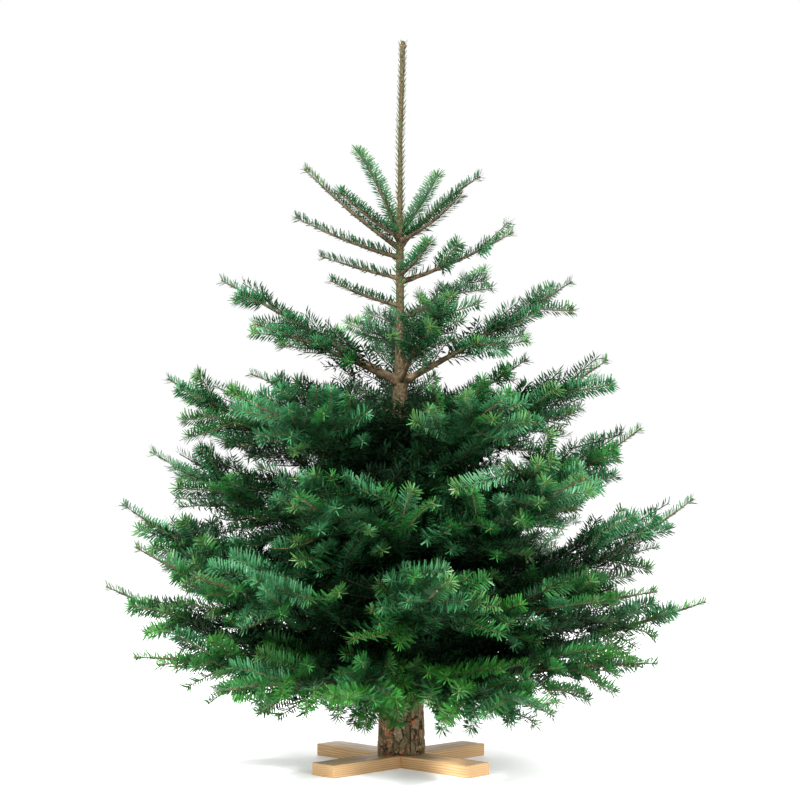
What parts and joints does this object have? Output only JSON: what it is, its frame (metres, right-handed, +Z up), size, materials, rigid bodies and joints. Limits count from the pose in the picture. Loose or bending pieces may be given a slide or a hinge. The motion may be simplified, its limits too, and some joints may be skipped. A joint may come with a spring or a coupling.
{
  "type": "christmas tree",
  "caption": "Whole cut fir tree: straight tapering trunk, rings of rising boughs with flat needle sprays, bare leader at the tip, on a plain wooden cross stand.",
  "frame": {"origin": "centre of the wooden cross's flat underside, on the floor, under the middle of the trunk", "axes": "+Z up the trunk; the tree's front faces -Y and +X is to the right of a viewer at the front"},
  "size_m": [1.451, 1.2332, 1.7803],
  "materials": {
    "bark": "matte",
    "bough_bark": "matte",
    "planed_wood": "matte",
    "needles": "satin"
  },
  "bodies": {
    "root": {"bough_ring2_back": "bough_bark", "bough_ring2_front_left": "bough_bark", "bough_ring2_front_right": "bough_bark", "bough_ring2_left": "bough_bark", "bough_ring2_right": "bough_bark", "bough_ring3_back": "bough_bark", "bough_ring3_front_left": "bough_bark", "bough_ring3_front_right": "bough_bark", "bough_ring3_left": "bough_bark", "bough_ring3_right": "bough_bark", "foliage_ring1_back_right": "needles", "foliage_ring1_front_left": "needles", "foliage_ring1_front_right": "needles", "foliage_ring1_left": "needles", "foliage_ring1_left_low": "needles", "foliage_ring1_left_upright": "needles", "foliage_ring1_right": "needles", "foliage_ring2_back": "needles", "foliage_ring2_front_left": "needles", "foliage_ring2_front_right": "needles", "foliage_ring2_left": "needles", "foliage_ring2_right": "needles", "foliage_ring3_back": "needles", "foliage_ring3_front_left": "needles", "foliage_ring3_front_right": "needles", "foliage_ring3_left": "needles", "foliage_ring3_right": "needles", "foliage_ring4_back": "needles", "foliage_ring4_front_left": "needles", "foliage_ring4_front_right": "needles", "foliage_ring4_left": "needles", "foliage_ring4_right": "needles", "foliage_ring5_back_left": "needles", "foliage_ring5_back_right": "needles", "foliage_ring5_front": "needles", "foliage_ring5_front_left": "needles", "foliage_ring5_left": "needles", "foliage_ring5_left_low": "needles", "foliage_ring5_right": "needles", "foliage_ring5_right_low": "needles", "foliage_ring6_back_left": "needles", "foliage_ring6_back_right": "needles", "foliage_ring6_front": "needles", "foliage_ring6_front_left": "needles", "foliage_ring6_front_right": "needles", "foliage_ring6_left": "needles", "foliage_ring6_left_low": "needles", "foliage_ring6_right": "needles", "foliage_ring6_right_low": "needles", "foliage_shoots_high_back": "needles", "foliage_shoots_high_front": "needles", "foliage_shoots_high_left": "needles", "foliage_shoots_high_left_low": "needles", "foliage_shoots_high_right": "needles", "foliage_shoots_low_left": "needles", "foliage_shoots_low_right": "needles", "stand_board_lower": "planed_wood", "stand_board_upper": "planed_wood", "stand_pin": "planed_wood", "trunk": "bark"}
  },
  "joints": []
}
